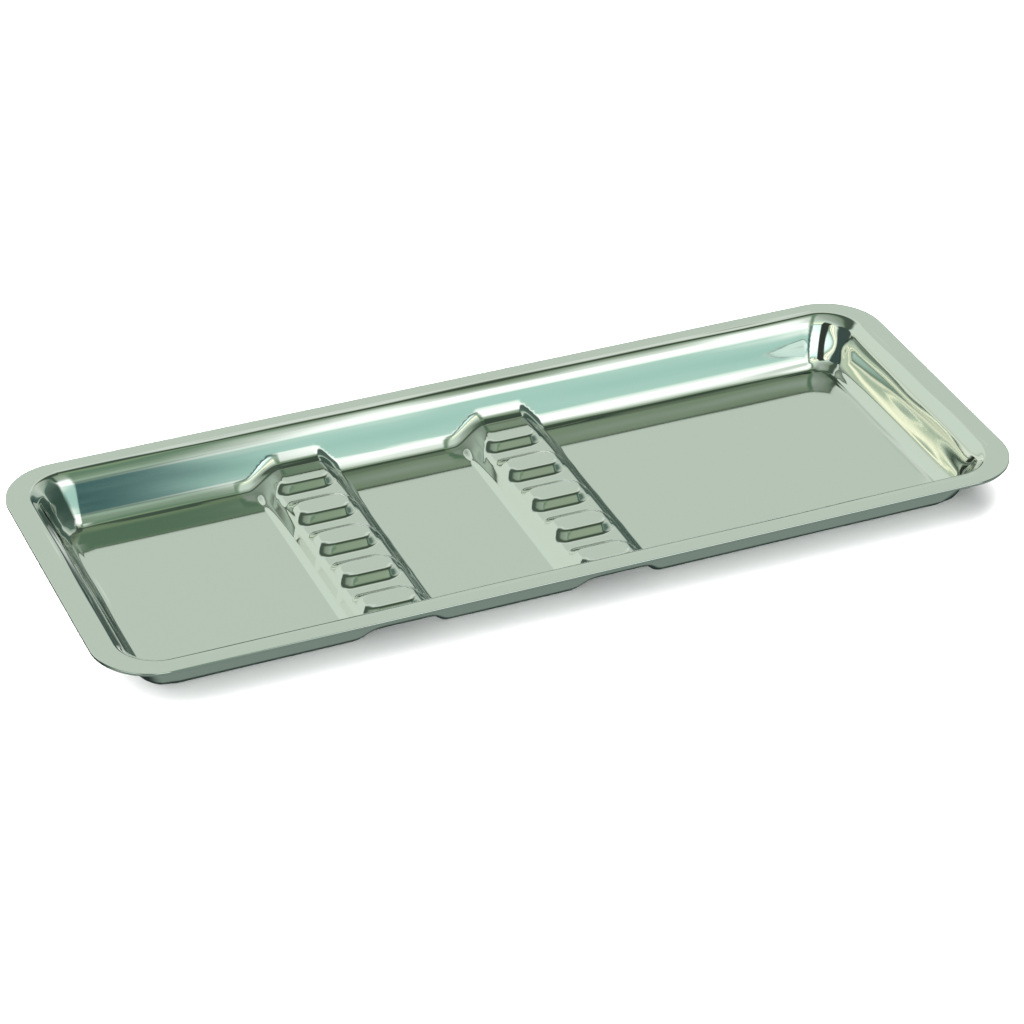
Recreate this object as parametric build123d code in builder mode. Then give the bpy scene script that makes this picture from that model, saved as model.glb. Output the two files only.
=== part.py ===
"""Instrument tray pressed from one stainless sheet, with two notched rests across its floor.

Millimetres, +X along the length, +Z up, origin on the ground under the middle of the tray.
The upper skin and the lower skin of the sheet come from the same functions: drop is how far
below the upper skin a skin lies, which is 0 or the sheet's thickness.
"""

import os
from math import cos, radians, tan

from build123d import *

# Overall size and sheet
tray_length = 220.0
tray_width = 87.0
tray_height = 12.1
sheet = 0.7
flange_corner = 14.0

# Wall: the upper skin's sharp outlines at the mouth and at the floor, and the bends
mouth_side_inset = 5.95
mouth_end_inset = 6.9
mouth_corner = 8.5
wall_angle = 67.8
wall_run = (tray_height - sheet) / tan(radians(wall_angle))
floor_side_inset = mouth_side_inset + wall_run
floor_end_inset = mouth_end_inset + wall_run
floor_corner = 6.0
rim_bend = 4.0
floor_bend = 4.2

# Rests: the middle of each upper ridge along X, and of its middle notch along Y
rest_places = [(-40.5, -5.1), (10.8, -6.4)]
rest_foot = 20.3
rest_height = 4.1
rest_flank_angle = 47.0
rest_root = 1.0
rest_edge_bend = 2.0

# Notches across each rest, wide at the top. In front of the last one the rest stays low
notch_count = 5
notch_pitch = 13.45
notch_depth = 1.4
notch_mouth = 7.8
notch_wall_angle = 30.0
notch_floor_bend = 2.0

touch = 0.01


def bend_shift(angle, drop):
    """Sideways distance between the two skins' corners where a level face turns by an angle."""
    return drop * tan(radians(angle / 2))


def spans(edge):
    """An edge's lowest and highest corners, and its lengths along X and Y."""
    box = edge.bounding_box()
    return box.min, box.max, box.size.X, box.size.Y


def wall_solid(drop):
    """The solid that fills the tapered wall from the floor to the mouth."""
    grow = bend_shift(wall_angle, drop)
    with BuildPart() as wall:
        with BuildSketch(Plane.XY.offset(sheet - drop)):
            RectangleRounded(
                tray_length - 2 * floor_end_inset + 2 * grow,
                tray_width - 2 * floor_side_inset + 2 * grow,
                floor_corner + grow,
            )
        with BuildSketch(Plane.XY.offset(tray_height - drop)):
            RectangleRounded(
                tray_length - 2 * mouth_end_inset + 2 * grow,
                tray_width - 2 * mouth_side_inset + 2 * grow,
                mouth_corner + grow,
            )
        loft(ruled=True)
    return wall.part


def rest_solid(centre, notch_middle, drop):
    """One rest: a ridge with five notches, which runs through both walls and below the floor."""
    floor = sheet - drop
    top = floor + rest_height
    foot = rest_foot - 2 * bend_shift(rest_flank_angle, drop)
    root_spread = 2 * rest_root / tan(radians(rest_flank_angle))
    last_notch = notch_middle - notch_pitch * (notch_count - 1) / 2
    with BuildPart() as rest:
        with BuildSketch(Plane.XZ.offset(-tray_width / 2)):
            with Locations((centre, floor - rest_root)):
                Trapezoid(
                    foot + root_spread,
                    rest_root + rest_height,
                    rest_flank_angle,
                    align=(Align.CENTER, Align.MIN),
                )
        extrude(amount=tray_width)
        with BuildSketch(Plane.YZ.offset(centre - rest_foot)) as notches:
            with Locations((notch_middle, top)):
                with GridLocations(notch_pitch, 1, notch_count, 1):
                    Trapezoid(
                        notch_mouth + 2 * bend_shift(notch_wall_angle, drop),
                        notch_depth,
                        notch_wall_angle,
                        rotation=180,
                        align=(Align.CENTER, Align.MIN),
                    )
            with Locations((last_notch, top)):
                Rectangle(tray_width, notch_depth, align=(Align.MAX, Align.MAX))
            notch_floors = notches.vertices().group_by(Axis.Y)[0].sort_by(Axis.X)[1:]
            fillet(notch_floors, notch_floor_bend + drop)
        extrude(amount=2 * rest_foot, mode=Mode.SUBTRACT)
        outer_edges = rest.edges().filter_by(lambda edge: is_rest_edge(edge, top))
        fillet(outer_edges, rest_edge_bend - drop)
    return rest.part


def is_rest_edge(edge, top):
    """Whether an edge is a sharp outer one: across a notch's mouth or along the top of a flank."""
    low, high, along_x, along_y = spans(edge)
    on_end = along_y < touch and abs(low.Y) > tray_width / 2 - touch
    if low.Z < top - notch_depth - touch or on_end:
        return False
    if along_x > rest_foot / 4:
        return low.Z > top - touch
    return True


def is_bottom_edge(edge, floor, half_width):
    """Whether an edge runs where the floor or a rest meets a wall, or where the floor meets a rest."""
    low, high, _, _ = spans(edge)
    on_floor = high.Z < floor + touch
    on_wall = low.Y * high.Y > 0 and min(abs(low.Y), abs(high.Y)) > half_width - touch
    return on_floor or (on_wall and high.Z < floor + rest_height + 2 * touch)


def skin_solid(drop):
    """The solid above one skin of the sheet: the wall's inside less the rests, with round bends."""
    floor = sheet - drop
    half_width = tray_width / 2 - floor_side_inset + bend_shift(wall_angle, drop)
    wall = wall_solid(drop)
    rests = [rest_solid(centre, notch_middle, drop) for centre, notch_middle in rest_places]
    with BuildPart() as skin:
        add(wall)
        add(rests, mode=Mode.SUBTRACT)
        bottom_edges = skin.edges().filter_by(lambda edge: is_bottom_edge(edge, floor, half_width))
        fillet(bottom_edges, floor_bend + drop)
    return skin.part


def inset_of(edge):
    """How far an edge's middle lies in from the nearest side of the flange."""
    middle = edge @ 0.5
    return min(tray_length / 2 - abs(middle.X), tray_width / 2 - abs(middle.Y))


def mouth_edges(part, level):
    """The closed line where the wall meets one side of the flange."""
    corner_inset = flange_corner * (1 - cos(radians(45)))
    edges = part.edges().filter_by_position(Axis.Z, level - touch, level + touch)
    return [edge for edge in edges if inset_of(edge) > corner_inset + touch]


inside = skin_solid(0)
outside = skin_solid(sheet)

with BuildPart() as tray_pan:
    with BuildSketch(Plane.XY.offset(tray_height - sheet)):
        RectangleRounded(tray_length, tray_width, flange_corner)
    extrude(amount=sheet)
    add(outside)
    fillet(mouth_edges(tray_pan, tray_height - sheet), rim_bend - sheet)
    add(inside, mode=Mode.SUBTRACT)
    fillet(mouth_edges(tray_pan, tray_height), rim_bend)

tray_pan.part.label = "tray_pan"
os.makedirs("parts", exist_ok=True)
export_step(tray_pan.part, "parts/tray_pan.step")
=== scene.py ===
"""The looks of a polished steel instrument tray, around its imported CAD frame. Metres."""

import math

import bpy
import numpy as np
from mathutils import Matrix, Vector


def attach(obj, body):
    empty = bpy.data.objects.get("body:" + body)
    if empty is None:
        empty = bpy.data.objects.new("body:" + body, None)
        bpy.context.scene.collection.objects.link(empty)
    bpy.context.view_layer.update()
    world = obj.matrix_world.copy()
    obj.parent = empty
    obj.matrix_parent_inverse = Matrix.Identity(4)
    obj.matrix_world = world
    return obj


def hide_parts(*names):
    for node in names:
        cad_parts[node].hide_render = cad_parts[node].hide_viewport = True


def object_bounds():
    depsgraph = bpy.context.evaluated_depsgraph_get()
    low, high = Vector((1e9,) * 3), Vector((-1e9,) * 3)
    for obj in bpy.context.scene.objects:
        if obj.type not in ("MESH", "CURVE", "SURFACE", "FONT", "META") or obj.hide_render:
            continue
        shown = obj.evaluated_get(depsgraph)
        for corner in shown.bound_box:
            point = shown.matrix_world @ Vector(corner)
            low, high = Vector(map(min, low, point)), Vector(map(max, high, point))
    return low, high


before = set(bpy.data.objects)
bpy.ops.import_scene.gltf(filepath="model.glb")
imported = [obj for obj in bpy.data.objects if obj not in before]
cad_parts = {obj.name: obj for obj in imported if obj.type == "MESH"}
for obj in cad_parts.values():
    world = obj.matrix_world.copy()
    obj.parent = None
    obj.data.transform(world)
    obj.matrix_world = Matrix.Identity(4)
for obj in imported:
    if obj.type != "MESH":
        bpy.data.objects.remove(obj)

cad_low, cad_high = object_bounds()
LENGTH = cad_high.x - cad_low.x
WIDTH = cad_high.y - cad_low.y
HEIGHT = cad_high.z - cad_low.z
MM = 0.001

# Sheet, flange and wall, as in the CAD: sharp outlines at the mouth and at the floor, and their bends
SHEET = 0.7 * MM
CUT_ROUND = 0.18 * MM
FLANGE_CORNER = 14.0 * MM
MOUTH_INSET = np.array((6.75, 5.95)) * MM
MOUTH_CORNER = 8.5 * MM
FLOOR_INSET = np.array((11.75, 10.6)) * MM
FLOOR_CORNER = 6.0 * MM
RIM_BEND = 4.0 * MM
FLOOR_BEND = 4.2 * MM

# Rests: where each one's middle and its middle notch lie, its flanks, and the humps between its notches
REST_PLACES = ((-40.5 * MM, -5.1 * MM), (10.8 * MM, -6.4 * MM))
REST_REACH = 12.0 * MM
REST_LEVEL_HALF = 4.6 * MM
REST_HALF = 10.15 * MM
REST_TOP = 4.1 * MM
REST_SLOPE = math.tan(math.radians(47))
REST_FOOT_BEND = 2.6 * MM
REST_EDGE_BEND = 2.0 * MM
NOTCH_PITCH = 13.45 * MM
NOTCH_LEVEL = 2.7 * MM
NOTCH_FLOOR_HALF = 1.5 * MM
NOTCH_SLOPE = math.tan(math.radians(31))
NOTCH_FLOOR_BEND = 2.3 * MM
HUMP_COUNT = 5
HUMP_CORNER = 2.6 * MM
HUMP_CORNER_SPREAD = 1.6
HUMP_EDGE_BEND = 2.1 * MM

# The smooth dome that each rest becomes at a wall: half its width at the top and at the foot, left and
# right of its middle, and the distances from the tray's middle between which the rest changes into it
DOME_TOP_HALF = np.array((4.2, 5.4)) * MM
DOME_FOOT_HALF = np.array((13.0, 11.0)) * MM
DOME_START = 25.0 * MM
DOME_FULL = 32.0 * MM
DOME_LATER_IN_FRONT = 6.0 * MM

# Slow unevenness of the drawn wall: height of the waves up it, their radians per metre up it and along it,
# how much they lean across the width, and the distances from the middle between which they double.
# Along the wall two swells of unlike length change the waves' height and shift them
WAVE = 0.10 * MM
WAVE_UP = 1050
WAVE_ALONG = 58
WAVE_LEAN = 1.7
WAVE_GROWS = 80 * MM
WAVE_GROWN = 97 * MM
WAVE_SHARE = 0.6
WAVE_SHARE_CHANGE = 0.25
WAVE_SHIFT = 0.5
SECOND_SWELL = 0.6
SECOND_SWELL_RATE = 2.3

# Exactness of the surface: halvings and heights of the search for a level, and the steps that its slopes
# are taken over
HALVINGS = 26
SEARCH_DEPTH = -30 * MM
HUMP_SEARCH_TOP = 12 * MM
WALL_SEARCH_TOP = 30 * MM
SMALLEST_CORNER = 0.2 * MM
HUMP_STEP = 0.05 * MM
WALL_STEP = 0.1 * MM
NORMAL_STEP = 0.02 * MM
SMALLEST_WALL_SLOPE = 1.5

# Mesh lines: how far before and past a sharp line they lie closer together, their spacing, how far from the
# tray's middle they follow the notches, and the angles at which rings run round the cut edge
RIM_ZONE = (-3.0 * MM, 1.3 * MM)
FOOT_ZONE = (-1.5 * MM, 3.2 * MM)
NOTCH_FLOOR_ZONE = (-0.7 * MM, 0.7 * MM)
NOTCH_TOP_ZONE = (-0.6 * MM, 0.7 * MM)
LEVEL_SPACING = 3.2 * MM
TOP_SPACING = 1.3 * MM
FLANGE_SPACING = 1.0 * MM
WALL_SPACING = 0.4 * MM
RIM_BEND_SPACING = 0.25 * MM
FLOOR_BEND_SPACING = 0.28 * MM
FLANK_SPACING = 0.32 * MM
NOTCH_SPACING = 0.6 * MM
NOTCH_BEND_SPACING = 0.2 * MM
LEAST_SPACING = 0.12 * MM
NOTCH_SHIFT_FULL = 32.0 * MM
NOTCH_SHIFT_STOP = 36.0 * MM
CUT_ANGLES = (30, 60, 90, -90, -60, -30)

# The camera of the photograph, placed from the middle of the flange's top, the two lights and the floor
CAMERA_PLACE = Vector((-278.33, -627.81, 439.75)) * MM
CAMERA_AZIMUTH = 23.89
CAMERA_ELEVATION = 33.25
CAMERA_ROLL = -0.94
CAMERA_LENS = 126.4
CAMERA_SENSOR = 36
KEY_LIGHT = {"place": (-0.3, 0.4, 1.2), "size": (2.6, 2.6), "power": 110}
FILL_LIGHT = {"place": (-0.9, -1.1, 0.8), "size": (2.4, 2.0), "power": 70}
FLOOR_HALF = 3.0
FLOOR_GAP = 0.2 * MM
FLOOR_COLOUR = (0.9, 0.9, 0.9, 1)
FLOOR_ROUGHNESS = 0.9

# Steel: its colour if wholly cloudy and if clear, how clear it is at its cloudiest, its least and greatest
# roughness, how fine its drawing lines are along X, Y and Z and its clouds are, per metre, and how strongly
# and how deeply the lines bump it
CLOUDY_STEEL = (0.50, 0.53, 0.50, 1)
CLEAR_STEEL = (0.635, 0.665, 0.635, 1)
LEAST_CLEAR = 0.97
ROUGHNESS = (0.03, 0.09)
DRAWING_LINES = (30, 900, 900)
CLOUDS = 60.0
LINE_BUMP = 0.02
LINE_DEPTH = 0.1 * MM

# What the steel mirrors, by degrees up from the horizon behind the tray: 90 is overhead, 180 is in front.
# Left and right are by the direction's X: each change runs between two values of it.
# Many of these stops began as brightnesses that another program measured in the photograph's reflections and
# traced to a direction, and were then adjusted. It isn't plain studio light
SKY_STRENGTH = 2.0
LEFT_TO_RIGHT = (0.25, 0.31)
FAR_LEFT_FROM = (0.21, 0.13)
SIDE_FROM = (0.48, 0.62)
RIGHT_SPREADS = 0.02
RIGHT_SPREADS_BETWEEN = (150.0, 160.0)
SKY_RIGHT = (
    (0, 0.03, 0.06, 0.06),
    (9, 0.05, 0.09, 0.08),
    (17, 0.75, 0.85, 0.75),
    (37, 0.72, 0.82, 0.72),
    (44, 0.98, 1.04, 0.96),
    (51, 0.50, 0.56, 0.47),
    (57, 0.22, 0.27, 0.20),
    (63, 0.06, 0.09, 0.06),
    (82, 0.07, 0.11, 0.08),
    (90, 0.27, 0.35, 0.24),
    (100, 0.42, 0.53, 0.38),
    (106, 0.55, 0.65, 0.55),
    (113, 0.95, 1.05, 0.95),
    (122, 1.60, 1.65, 1.60),
    (150, 1.90, 1.90, 1.90),
    (161, 1.30, 1.45, 1.35),
    (168, 0.60, 0.92, 0.82),
    (180, 0.42, 0.72, 0.63),
)
SKY_LEFT = (
    (0, 0.04, 0.08, 0.07),
    (9, 0.05, 0.09, 0.08),
    (17, 0.75, 0.85, 0.75),
    (37, 0.72, 0.82, 0.72),
    (44, 0.95, 1.02, 0.94),
    (50, 0.40, 0.48, 0.40),
    (57, 0.08, 0.12, 0.09),
    (74, 0.08, 0.13, 0.09),
    (86, 0.32, 0.44, 0.27),
    (100, 0.20, 0.33, 0.22),
    (124, 0.30, 0.42, 0.30),
    (142, 0.42, 0.58, 0.45),
    (158, 0.20, 0.30, 0.24),
    (169, 0.07, 0.17, 0.17),
    (180, 0.03, 0.08, 0.08),
)
SKY_FAR_LEFT = (
    (0, 0.25, 0.33, 0.31),
    (5, 1.12, 1.17, 0.98),
    (8, 0.85, 0.96, 0.83),
    (11, 0.94, 1.04, 0.88),
    (15.7, 0.66, 0.74, 0.62),
    (19, 0.88, 0.98, 0.85),
    (46, 0.88, 1.00, 0.88),
    (57, 0.09, 0.13, 0.10),
    (72, 0.10, 0.14, 0.10),
    (84, 0.35, 0.45, 0.34),
    (97, 0.50, 0.57, 0.50),
    (118, 0.85, 1.00, 0.86),
    (126, 1.20, 1.32, 1.03),
    (131.8, 0.95, 1.10, 0.86),
    (133.2, 2.45, 2.30, 1.80),
    (134.6, 2.40, 2.28, 1.80),
    (135.8, 0.90, 1.05, 0.80),
    (137.5, 0.82, 1.00, 0.80),
    (139.4, 2.05, 1.95, 1.55),
    (141.2, 0.30, 0.44, 0.34),
    (145, 0.75, 1.00, 0.88),
    (150, 1.20, 1.50, 1.45),
    (168, 1.90, 2.10, 2.00),
    (180, 0.50, 0.60, 0.50),
)
SKY_SIDE = (
    (0, 0.05, 0.08, 0.08),
    (20, 0.10, 0.16, 0.14),
    (26, 0.16, 0.24, 0.20),
    (34, 0.58, 0.68, 0.60),
    (60, 0.75, 0.84, 0.74),
    (80, 0.50, 0.60, 0.50),
    (94, 0.14, 0.22, 0.18),
    (128, 0.12, 0.18, 0.15),
    (180, 0.05, 0.10, 0.08),
)
# Below the horizon: the colour in front and behind, the change between them along Y, and its start along Z
SKY_GROUND = (0.27, 0.34, 0.30)
SKY_GAP = (0.03, 0.045, 0.04)
GROUND_TO_GAP = (0.0, 0.4)
GROUND_FROM = (-0.02, -0.12)
# Dark upright bands: from and to along X, from and to in degrees, colour
SKY_BAND_SOFTNESS = 0.03
SKY_BAND_END_SOFTNESS = 6.0
SKY_BANDS = (
    (-0.60, -0.25, 120, 200, (0.05, 0.06, 0.05)),
    (-1.10, -0.80, 12, 118, (0.07, 0.11, 0.10)),
    (0.455, 0.525, 62, 112, (0.07, 0.12, 0.10)),
)


def outline_distance(x, y, half, corner):
    """Signed distance from a rounded rectangle round the origin, negative inside."""
    across = np.abs(x) - half[0] + corner
    along = np.abs(y) - half[1] + corner
    outside = np.hypot(np.maximum(across, 0), np.maximum(along, 0))
    return outside + np.minimum(np.maximum(across, along), 0) - corner


def sloping_level(x, y, half, corner, run, corner_run, low, high):
    """Height at which a rounded rectangle that grows by run per unit of height passes through each point."""
    widens = run[0] > 0
    bottom = np.full(x.shape, low)
    top = np.full(x.shape, high)
    for _ in range(HALVINGS):
        middle = (bottom + top) / 2
        size = (half[0] + run[0] * middle, half[1] + run[1] * middle)
        radius = np.maximum(corner + corner_run * middle, SMALLEST_CORNER)
        raise_it = (outline_distance(x, y, size, radius) > 0) == widens
        bottom = np.where(raise_it, middle, bottom)
        top = np.where(raise_it, top, middle)
    return (bottom + top) / 2


def bend_up(level, sloping, slope, radius):
    """The higher of a level surface and a sloping one, with a round hollow bend between them."""
    rise = sloping - level
    angle = np.arctan(slope)
    reach = radius * np.tan(angle / 2)
    past = rise / slope
    arc = radius - np.sqrt(np.maximum(radius**2 - np.clip(past + reach, 0, radius) ** 2, 0))
    lift = np.where(past < -reach, 0, np.where(past > reach * np.cos(angle), rise, arc))
    return level + lift


def bend_down(level, sloping, slope, radius):
    """The lower of a level surface and a sloping one, with a round outward bend between them."""
    return -bend_up(-level, -sloping, slope, radius)


def smooth_step(value, start, stop):
    """A smooth change from 0 where value is start to 1 where it is stop."""
    share = np.clip((value - start) / (stop - start), 0, 1)
    return share * share * (3 - 2 * share)


def slopes(surface, x, y, step):
    """A surface's rise per unit along X and along Y."""
    slope_x = (surface(x + step, y) - surface(x - step, y)) / (2 * step)
    slope_y = (surface(x, y + step) - surface(x, y - step)) / (2 * step)
    return slope_x, slope_y


def steepness(surface, x, y, step):
    """A surface's rise per unit straight up it."""
    return np.hypot(*slopes(surface, x, y, step))


def hump_sides(across, along):
    """Height of the sloping sides of one hump with rounded corners, round its own middle."""
    sides = np.array((REST_SLOPE, NOTCH_SLOPE))
    half = np.array((REST_HALF, NOTCH_PITCH / 2 - NOTCH_FLOOR_HALF + NOTCH_LEVEL / NOTCH_SLOPE))
    spread = np.where(across > 0, HUMP_CORNER_SPREAD, 0)
    foot_corner = HUMP_CORNER + spread * REST_TOP
    return sloping_level(across, along, half, foot_corner, -1 / sides, -spread, SEARCH_DEPTH, HUMP_SEARCH_TOP)


def rest_height(x, y, centre, notch_middle):
    """Height of one rest above the floor: a low ridge with humps, the last one run into the back wall."""
    reach = (HUMP_COUNT - 1) / 2
    hump_middle = notch_middle + NOTCH_PITCH / 2
    nearest = np.clip(np.round((y - hump_middle) / NOTCH_PITCH), -reach, reach)
    along = y - hump_middle - nearest * NOTCH_PITCH
    along = np.where(nearest == reach, np.minimum(along, 0), along)
    across = x - centre
    slope = np.clip(steepness(hump_sides, across, along, HUMP_STEP), NOTCH_SLOPE, REST_SLOPE)
    flank = (REST_HALF - np.abs(across)) * REST_SLOPE
    ridge = bend_down(np.full(x.shape, NOTCH_LEVEL), flank, REST_SLOPE, REST_EDGE_BEND)
    hump = bend_down(np.full(x.shape, REST_TOP), hump_sides(across, along), slope, HUMP_EDGE_BEND)
    rest = bend_up(ridge, hump, NOTCH_SLOPE, NOTCH_FLOOR_BEND)
    rest = bend_up(np.zeros(x.shape), rest, REST_SLOPE, REST_FOOT_BEND)
    dome_top = np.where(y > 0, REST_TOP, NOTCH_LEVEL)
    side = (across > 0).astype(int)
    dome = dome_top * (1 - smooth_step(np.abs(across), DOME_TOP_HALF[side], DOME_FOOT_HALF[side]))
    towards_wall = np.where(y > 0, y, -y - DOME_LATER_IN_FRONT)
    return rest + (dome - rest) * smooth_step(towards_wall, DOME_START, DOME_FULL)


def wall_level(x, y):
    """Height above the floor of the wall's sloping surface, carried on inwards and outwards."""
    depth = HEIGHT - SHEET
    half_floor = np.array((LENGTH, WIDTH)) / 2 - FLOOR_INSET
    run = (FLOOR_INSET - MOUTH_INSET) / depth
    corner_run = (MOUTH_CORNER - FLOOR_CORNER) / depth
    level = sloping_level(
        x, y, half_floor, FLOOR_CORNER, run, corner_run, SEARCH_DEPTH, WALL_SEARCH_TOP
    )
    along = x + WAVE_LEAN * y
    swell = np.sin(WAVE_ALONG * along)
    swell = swell + SECOND_SWELL * np.sin(SECOND_SWELL_RATE * WAVE_ALONG * along + 1)
    growth = 1 + smooth_step(np.abs(x), WAVE_GROWS, WAVE_GROWN)
    height = WAVE * (WAVE_SHARE + WAVE_SHARE_CHANGE * swell) * growth
    return level + height * np.sin(WAVE_UP * level + WAVE_SHIFT * swell)


def surface_height(x, y):
    """Height of the sheet's upper skin above the ground."""
    depth = HEIGHT - SHEET
    slope = np.maximum(steepness(wall_level, x, y, WALL_STEP), SMALLEST_WALL_SLOPE)
    floor = np.zeros(x.shape)
    for centre, notch_middle in REST_PLACES:
        floor = np.maximum(floor, rest_height(x, y, centre, notch_middle))
    pan = bend_up(floor, wall_level(x, y), slope, FLOOR_BEND)
    return SHEET + bend_down(np.full(x.shape, depth), pan, slope, RIM_BEND)


def surface_normal(x, y):
    """Upward unit normals of the upper skin."""
    slope_x, slope_y = slopes(surface_height, x, y, NORMAL_STEP)
    normal = np.stack((-slope_x, -slope_y, np.ones(x.shape)), axis=-1)
    return normal / np.linalg.norm(normal, axis=-1, keepdims=True)


def spaced(start, stop, step):
    """Evenly spaced values from start up to but not including stop, about step apart."""
    count = max(1, round(abs(stop - start) / step))
    return list(np.linspace(start, stop, count, endpoint=False))


def inset_lines(mouth, floor):
    """Distances in from the cut edge at which mesh lines run, closer together in the bends."""
    rim_start, rim_stop = (mouth + offset for offset in RIM_ZONE)
    foot_start, foot_stop = (floor + offset for offset in FOOT_ZONE)
    lines = spaced(CUT_ROUND, rim_start, FLANGE_SPACING)
    lines += spaced(rim_start, rim_stop, RIM_BEND_SPACING)
    lines += spaced(rim_stop, foot_start, WALL_SPACING)
    return lines + spaced(foot_start, foot_stop, FLOOR_BEND_SPACING)


def mirrored(lines, half):
    """The two sets of lines that insets from both ends of an axis give."""
    return [inset - half for inset in lines], [half - inset for inset in reversed(lines)]


def thinned(lines):
    """The lines in order, without those that lie almost on the one before."""
    kept = []
    for line in sorted(lines):
        if not kept or line - kept[-1] > LEAST_SPACING:
            kept.append(line)
    return np.array(kept)


def length_lines():
    """Where mesh lines cross the tray's length."""
    left, right = mirrored(inset_lines(MOUTH_INSET[0], FLOOR_INSET[0]), LENGTH / 2)
    lines = left + right
    reached = left[-1]
    for centre, _ in REST_PLACES:
        lines += spaced(reached, centre - REST_REACH, LEVEL_SPACING)
        lines += spaced(centre - REST_REACH, centre - REST_LEVEL_HALF, FLANK_SPACING)
        lines += spaced(centre - REST_LEVEL_HALF, centre + REST_LEVEL_HALF, TOP_SPACING)
        lines += spaced(centre + REST_LEVEL_HALF, centre + REST_REACH, FLANK_SPACING)
        reached = centre + REST_REACH
    return thinned(lines + spaced(reached, right[0], LEVEL_SPACING))


def width_lines():
    """Where mesh lines cross the tray's width, for a row of notches midway between the two rests' rows."""
    front, back = mirrored(inset_lines(MOUTH_INSET[1], FLOOR_INSET[1]), WIDTH / 2)
    lines = front + back
    middle_notch = sum(place[1] for place in REST_PLACES) / len(REST_PLACES)
    low, high = NOTCH_FLOOR_HALF, NOTCH_FLOOR_HALF + (REST_TOP - NOTCH_LEVEL) / NOTCH_SLOPE
    low_start, low_stop = (low + offset for offset in NOTCH_FLOOR_ZONE)
    high_start, high_stop = (high + offset for offset in NOTCH_TOP_ZONE)
    for index in range(HUMP_COUNT):
        middle = middle_notch + (index - (HUMP_COUNT - 1) / 2) * NOTCH_PITCH
        for side in (-1, 1):
            lines += spaced(middle + side * low_start, middle + side * low_stop, NOTCH_BEND_SPACING)
            lines += spaced(middle + side * low_stop, middle + side * high_start, NOTCH_SPACING)
            lines += spaced(middle + side * high_start, middle + side * high_stop, NOTCH_BEND_SPACING)
        lines += spaced(middle + high_stop, middle + NOTCH_PITCH - high_stop, TOP_SPACING)
    return thinned([line for line in lines if abs(line) < WIDTH / 2])


def round_corners(x, y):
    """Moves a grid over the plain rectangle so that its border follows the flange's round corners."""
    across = np.abs(x) - (LENGTH / 2 - FLANGE_CORNER)
    along = np.abs(y) - (WIDTH / 2 - FLANGE_CORNER)
    in_corner = (across > 0) & (along > 0)
    radius = np.maximum(np.maximum(across, along), 1e-9)
    share = np.minimum(across, along) / radius
    angle = np.where(across >= along, share, 2 - share) * math.pi / 4
    round_x = LENGTH / 2 - FLANGE_CORNER + radius * np.cos(angle)
    round_y = WIDTH / 2 - FLANGE_CORNER + radius * np.sin(angle)
    return (
        np.where(in_corner, np.sign(x) * round_x, x),
        np.where(in_corner, np.sign(y) * round_y, y),
    )


def notch_shift(x, y):
    """Sideways shift that keeps mesh lines on the notches, whose rows aren't quite level with each other."""
    centres = [place[0] for place in REST_PLACES]
    middles = np.array([place[1] for place in REST_PLACES])
    share = np.clip((NOTCH_SHIFT_STOP - np.abs(y)) / (NOTCH_SHIFT_STOP - NOTCH_SHIFT_FULL), 0, 1)
    return np.interp(x, centres, middles - middles.mean()) * share


def rim_direction(rim):
    """Level unit vectors that point straight out of the flange's outline."""
    core = np.array((LENGTH, WIDTH)) / 2 - FLANGE_CORNER
    beyond = np.sign(rim[:, :2]) * np.maximum(np.abs(rim[:, :2]) - core, 0)
    level = beyond / np.linalg.norm(beyond, axis=-1, keepdims=True)
    return np.column_stack((level, np.zeros(len(rim))))


def cut_ring(rim, angle):
    """Points and normals of one line round the cut edge, by degrees from straight up or, negative, down."""
    outward = rim_direction(rim)
    turn = math.radians(angle)
    fall = CUT_ROUND * (1 - math.cos(turn))
    drop = fall if angle > 0 else SHEET - fall
    reach = CUT_ROUND * math.sin(abs(turn))
    points = rim + outward * reach - np.array((0, 0, drop))
    upright = np.array((0, 0, math.copysign(math.cos(turn), angle)))
    return points, outward * math.sin(abs(turn)) + upright


def tray_sheet():
    """Vertices, normals and faces of the whole sheet: upper skin, cut edge and lower skin."""
    grid_x, grid_y = np.meshgrid(length_lines(), width_lines(), indexing="ij")
    grid_y = grid_y + notch_shift(grid_x, grid_y)
    x, y = round_corners(grid_x, grid_y)
    z = surface_height(x, y)
    normal = surface_normal(x, y)
    upper = np.stack((x, y, z), axis=-1)
    lower = upper - SHEET * normal
    rows, columns = x.shape
    index = np.arange(rows * columns).reshape(rows, columns)
    border = np.concatenate((index[:, 0], index[-1, 1:], index[-2::-1, -1], index[0, -2:0:-1]))
    rim = upper.reshape(-1, 3)[border]
    points = [upper.reshape(-1, 3), lower.reshape(-1, 3)]
    normals = [normal.reshape(-1, 3), -normal.reshape(-1, 3)]
    rings = [border]
    total = 2 * rows * columns
    for angle in CUT_ANGLES:
        ring_points, ring_normals = cut_ring(rim, angle)
        points.append(ring_points)
        normals.append(ring_normals)
        rings.append(total + np.arange(len(border)))
        total += len(border)
    rings.append(border + rows * columns)
    corner = index[:-1, :-1], index[1:, :-1], index[1:, 1:], index[:-1, 1:]
    top_faces = np.stack([part.ravel() for part in corner], axis=-1)
    faces = [top_faces, top_faces[:, ::-1] + rows * columns]
    for near, far in zip(rings[:-1], rings[1:]):
        faces.append(np.stack((near, far, np.roll(far, -1), np.roll(near, -1)), axis=-1))
    return np.concatenate(points), np.concatenate(normals), np.concatenate(faces)


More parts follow.
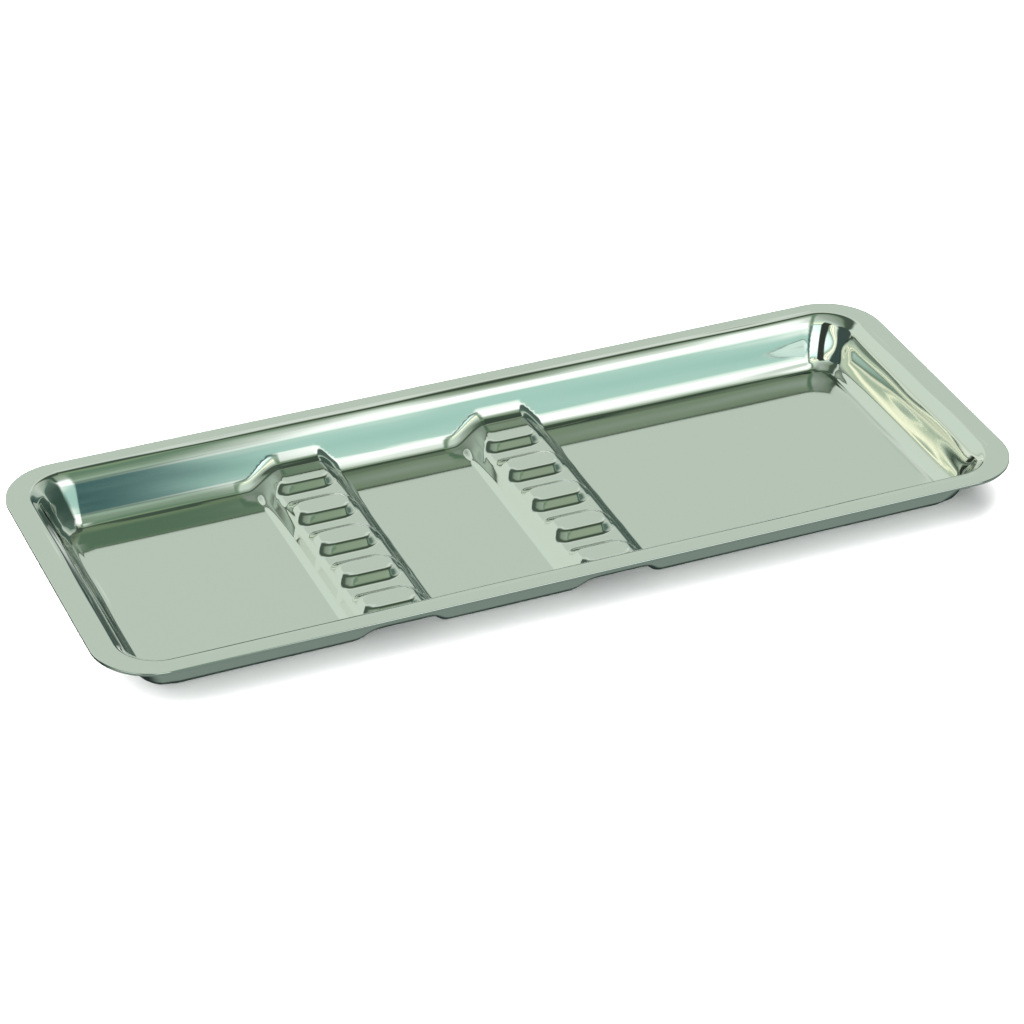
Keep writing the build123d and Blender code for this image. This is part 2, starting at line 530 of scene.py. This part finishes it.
def make_tray():
    """The whole tray as one closed mesh with the surface's own normals."""
    points, normals, faces = tray_sheet()
    mesh = bpy.data.meshes.new("tray_pan_sheet")
    mesh.from_pydata(points.tolist(), [], faces.tolist())
    mesh.shade_smooth()
    mesh.normals_split_custom_set_from_vertices(normals.tolist())
    tray = bpy.data.objects.new("tray_pan_sheet", mesh)
    bpy.context.scene.collection.objects.link(tray)
    return tray


def add_node(tree, kind, inputs=(), **settings):
    """A new node with its settings, and its inputs by name or number: a link from a socket, or a value."""
    node = tree.nodes.new(kind)
    for name, value in settings.items():
        setattr(node, name, value)
    for name, value in dict(inputs).items():
        if isinstance(value, bpy.types.NodeSocket):
            tree.links.new(value, node.inputs[name])
        else:
            node.inputs[name].default_value = value
    return node


def calculate(tree, operation, *values):
    """The result of a Math node."""
    return add_node(tree, "ShaderNodeMath", enumerate(values), operation=operation).outputs[0]


def fade(tree, value, start, stop):
    """A smooth change from 0 where value is start to 1 where it is stop."""
    inputs = {"Value": value, "From Min": start, "From Max": stop}
    return add_node(tree, "ShaderNodeMapRange", inputs, interpolation_type="SMOOTHSTEP").outputs[0]


def noise(tree, place, scale, detail):
    """Noise from 0 to 1."""
    inputs = {"Vector": place, "Scale": scale, "Detail": detail}
    return add_node(tree, "ShaderNodeTexNoise", inputs).outputs["Fac"]


def polished_steel():
    """Mirror-polished stainless steel with faint drawing lines, soft cloudiness and a fine uneven polish."""
    material = bpy.data.materials.new("polished_steel")
    material.use_nodes = True
    tree = material.node_tree
    shader = tree.nodes["Principled BSDF"]
    place = add_node(tree, "ShaderNodeTexCoord").outputs["Object"]
    along = add_node(tree, "ShaderNodeMapping", {"Vector": place, "Scale": DRAWING_LINES}).outputs[0]
    lines = noise(tree, along, 1.0, 4.0)
    clouds = noise(tree, place, CLOUDS, 3.0)
    tint = add_node(tree, "ShaderNodeMapRange", {"Value": clouds, "To Min": LEAST_CLEAR, "To Max": 1.0})
    colour = add_node(
        tree,
        "ShaderNodeMix",
        {"Factor": tint.outputs[0], "A": CLOUDY_STEEL, "B": CLEAR_STEEL},
        data_type="RGBA",
    )
    tree.links.new(colour.outputs["Result"], shader.inputs["Base Color"])
    least, greatest = ROUGHNESS
    polish = add_node(tree, "ShaderNodeMapRange", {"Value": lines, "To Min": least, "To Max": greatest})
    tree.links.new(polish.outputs[0], shader.inputs["Roughness"])
    shader.inputs["Metallic"].default_value = 1
    bumps = {"Height": lines, "Strength": LINE_BUMP, "Distance": LINE_DEPTH}
    bump = add_node(tree, "ShaderNodeBump", bumps)
    tree.links.new(bump.outputs[0], shader.inputs["Normal"])
    return material


def make_floor():
    """A pale floor that takes the tray's shadow and that the steel doesn't mirror."""
    corners = [(x * FLOOR_HALF, y * FLOOR_HALF, 0) for x, y in ((-1, -1), (1, -1), (1, 1), (-1, 1))]
    mesh = bpy.data.meshes.new("studio_floor")
    mesh.from_pydata(corners, [], [(0, 1, 2, 3)])
    floor = bpy.data.objects.new("studio_floor", mesh)
    floor.location.z = cad_low.z - FLOOR_GAP
    bpy.context.scene.collection.objects.link(floor)
    material = bpy.data.materials.new("pale_floor")
    material.use_nodes = True
    shader = material.node_tree.nodes["Principled BSDF"]
    shader.inputs["Base Color"].default_value = FLOOR_COLOUR
    shader.inputs["Roughness"].default_value = FLOOR_ROUGHNESS
    mesh.materials.append(material)
    floor.visible_glossy = False


def make_camera():
    """The camera at the photograph's viewing angle."""
    azimuth = math.radians(CAMERA_AZIMUTH)
    elevation = math.radians(CAMERA_ELEVATION)
    roll = math.radians(CAMERA_ROLL)
    ahead = Vector((
        math.sin(azimuth) * math.cos(elevation),
        math.cos(azimuth) * math.cos(elevation),
        -math.sin(elevation),
    ))
    level_right = Vector((math.cos(azimuth), -math.sin(azimuth), 0))
    level_down = ahead.cross(level_right)
    right = level_right * math.cos(roll) + level_down * math.sin(roll)
    up = level_right * math.sin(roll) - level_down * math.cos(roll)
    camera = bpy.data.objects.new("camera", bpy.data.cameras.new("camera"))
    camera.data.sensor_width = CAMERA_SENSOR
    camera.data.lens = CAMERA_LENS
    turn = Matrix((right, up, -ahead)).transposed().to_4x4()
    camera.matrix_world = Matrix.Translation(CAMERA_PLACE + Vector((0, 0, HEIGHT))) @ turn
    bpy.context.scene.collection.objects.link(camera)
    bpy.context.scene.camera = camera


def sky_colour(colour):
    """The colour that gives this brightness once the world's strength has multiplied it."""
    return [channel / SKY_STRENGTH for channel in colour] + [1]


def strip(tree, value, start, stop, soft):
    """Close to 1 where value is between start and stop, and 0 beyond, with soft edges."""
    rise = fade(tree, value, start - soft, start + soft)
    return calculate(tree, "MULTIPLY", rise, fade(tree, value, stop + soft, stop - soft))


def sky_ramp(tree, degrees, stops):
    """Colour by degrees up from the horizon behind the tray, from stops of degrees, red, green, blue."""
    ramp = add_node(tree, "ShaderNodeValToRGB", {"Fac": calculate(tree, "DIVIDE", degrees, 180.0)})
    ramp.color_ramp.interpolation = "EASE"
    elements = ramp.color_ramp.elements
    while len(elements) < len(stops):
        elements.new(0.5)
    for element, (at, *colour) in zip(elements, stops):
        element.position = at / 180
        element.color = sky_colour(colour)
    return ramp.outputs["Color"]


def blend_colours(tree, factor, start, stop):
    """The start colour where factor is 0, and the stop colour where it is 1."""
    inputs = {"Factor": factor, "A": start, "B": stop}
    return add_node(tree, "ShaderNodeMix", inputs, data_type="RGBA").outputs["Result"]


def make_world():
    """The surroundings that the steel mirrors, painted by direction. The camera sees plain white."""
    world = bpy.data.worlds.new("studio")
    world.use_nodes = True
    bpy.context.scene.world = world
    tree = world.node_tree
    direction = add_node(tree, "ShaderNodeTexCoord").outputs["Generated"]
    axes = add_node(tree, "ShaderNodeSeparateXYZ", {"Vector": direction}).outputs
    turned = calculate(tree, "ARCTAN2", axes["Z"], axes["Y"])
    degrees = calculate(tree, "MAXIMUM", calculate(tree, "MULTIPLY", turned, 180 / math.pi), 0.0)
    left, right, far_left, side = (
        sky_ramp(tree, degrees, stops) for stops in (SKY_LEFT, SKY_RIGHT, SKY_FAR_LEFT, SKY_SIDE)
    )
    spread = calculate(tree, "MULTIPLY", fade(tree, degrees, *RIGHT_SPREADS_BETWEEN), RIGHT_SPREADS)
    spread_x = calculate(tree, "ADD", axes["X"], spread)
    sky = blend_colours(tree, fade(tree, spread_x, *LEFT_TO_RIGHT), left, right)
    sky = blend_colours(tree, fade(tree, axes["X"], *FAR_LEFT_FROM), sky, far_left)
    sky = blend_colours(tree, fade(tree, axes["X"], *SIDE_FROM), sky, side)
    for start, stop, lowest, highest, colour in SKY_BANDS:
        across = strip(tree, axes["X"], start, stop, SKY_BAND_SOFTNESS)
        upright = strip(tree, degrees, lowest, highest, SKY_BAND_END_SOFTNESS)
        inside = calculate(tree, "MULTIPLY", across, upright)
        sky = blend_colours(tree, inside, sky, sky_colour(colour))
    behind = fade(tree, axes["Y"], *GROUND_TO_GAP)
    ground = blend_colours(tree, behind, sky_colour(SKY_GROUND), sky_colour(SKY_GAP))
    sky = blend_colours(tree, fade(tree, axes["Z"], *GROUND_FROM), sky, ground)
    background = tree.nodes["Background"]
    tree.links.new(sky, background.inputs["Color"])
    background.inputs["Strength"].default_value = SKY_STRENGTH
    seen = add_node(tree, "ShaderNodeBackground", {"Color": (1, 1, 1, 1)})
    either = add_node(tree, "ShaderNodeMixShader")
    tree.links.new(add_node(tree, "ShaderNodeLightPath").outputs["Is Camera Ray"], either.inputs[0])
    tree.links.new(background.outputs[0], either.inputs[1])
    tree.links.new(seen.outputs[0], either.inputs[2])
    tree.links.new(either.outputs[0], tree.nodes["World Output"].inputs["Surface"])
    world.cycles_visibility.diffuse = False


def make_light(name, place, size, power):
    """A soft light that shines at the tray and that the steel doesn't mirror."""
    light = bpy.data.objects.new(name, bpy.data.lights.new(name, "AREA"))
    light.data.shape = "RECTANGLE"
    light.data.size, light.data.size_y = size
    light.data.energy = power
    light.location = place
    light.rotation_euler = (-Vector(place)).to_track_quat("-Z", "Y").to_euler()
    light.visible_glossy = False
    light.visible_camera = False
    bpy.context.scene.collection.objects.link(light)


tray = make_tray()
tray.data.materials.append(polished_steel())
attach(tray, "root")
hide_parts("tray_pan")
make_floor()
make_camera()
make_world()
make_light("key_light", **KEY_LIGHT)
make_light("fill_light", **FILL_LIGHT)
bpy.context.scene.view_settings.view_transform = "Standard"
